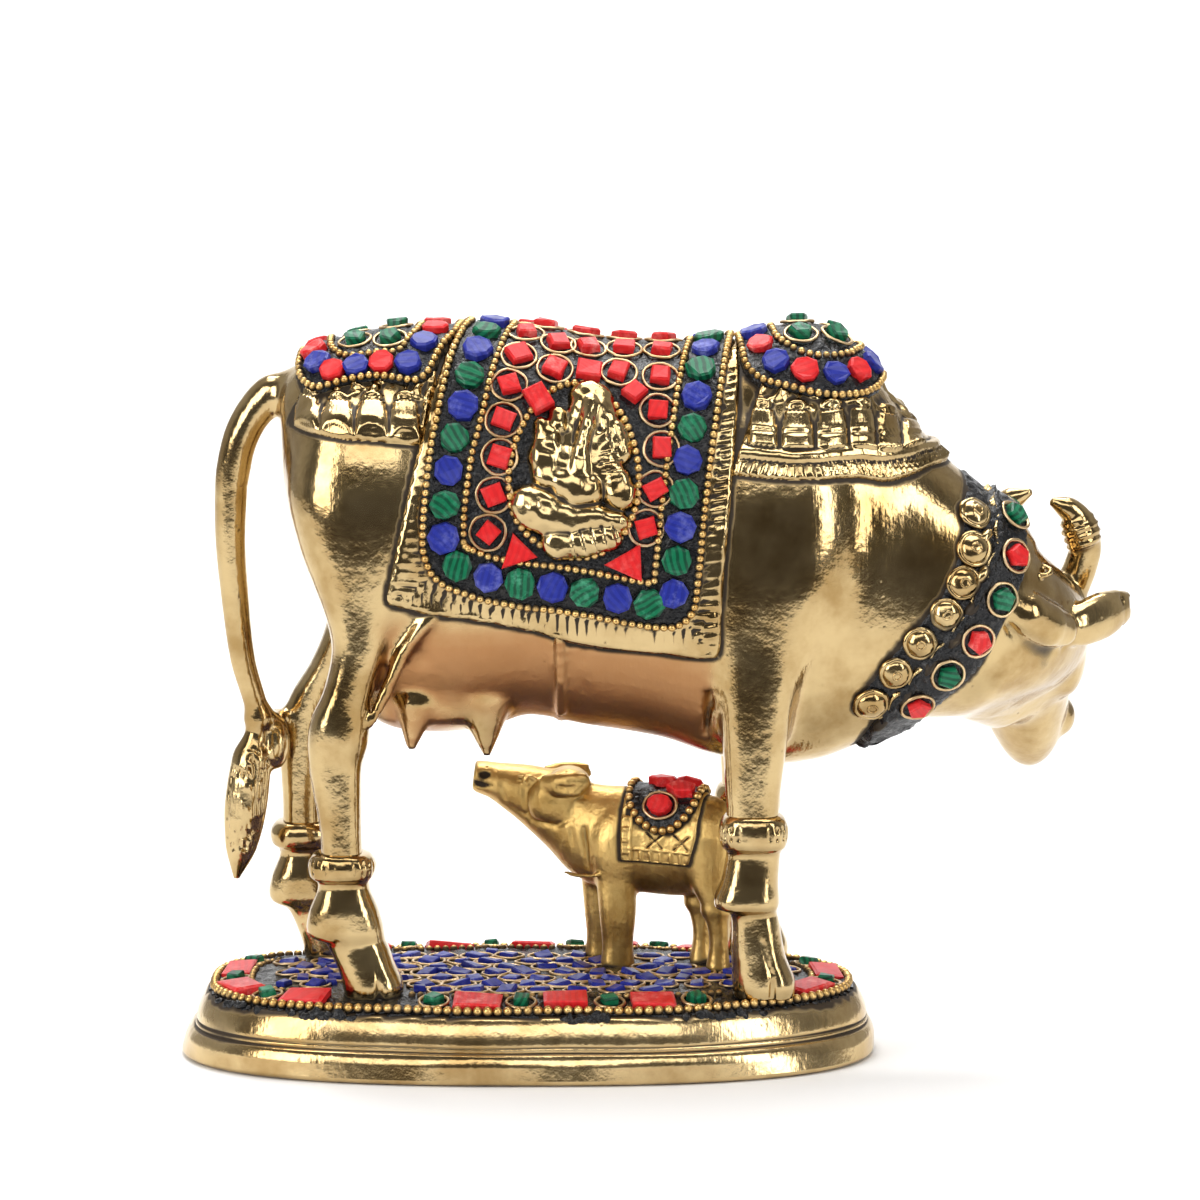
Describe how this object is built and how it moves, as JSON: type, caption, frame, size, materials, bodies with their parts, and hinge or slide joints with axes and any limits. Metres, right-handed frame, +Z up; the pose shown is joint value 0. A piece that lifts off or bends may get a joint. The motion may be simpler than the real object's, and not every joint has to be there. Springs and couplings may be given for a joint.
{
  "type": "cow and calf statue",
  "caption": "Standing brass cow with head turned away over her calf, on an oval plinth, with a stone-set blanket, caps, collar and ground.",
  "frame": {"origin": "centre of the plinth's flat underside", "axes": "+X towards the cow's head, +Z up, -Y is the cow's right flank, which faces the viewer"},
  "size_m": [0.2183, 0.0973, 0.1691],
  "materials": {
    "plinth_brass": "polished cast brass",
    "cow_brass": "polished cast brass with dark patina in the recesses",
    "calf_brass": "satin cast brass, golden",
    "bead_brass": "ball chain and drawn wire rings",
    "resin": "rough black setting resin",
    "red_stone": "cut coral red chips",
    "blue_stone": "cut deep blue chips",
    "green_stone": "cut banded green chips"
  },
  "bodies": {
    "root": {"plinth": "plinth_brass", "cow": "cow_brass", "calf": "calf_brass", "plinth_mosaic": "blue_stone", "rump_mosaic": "resin", "blanket_mosaic": "red_stone", "hump_mosaic": "resin", "collar_mosaic": "green_stone", "calf_mosaic": "red_stone"}
  },
  "joints": []
}
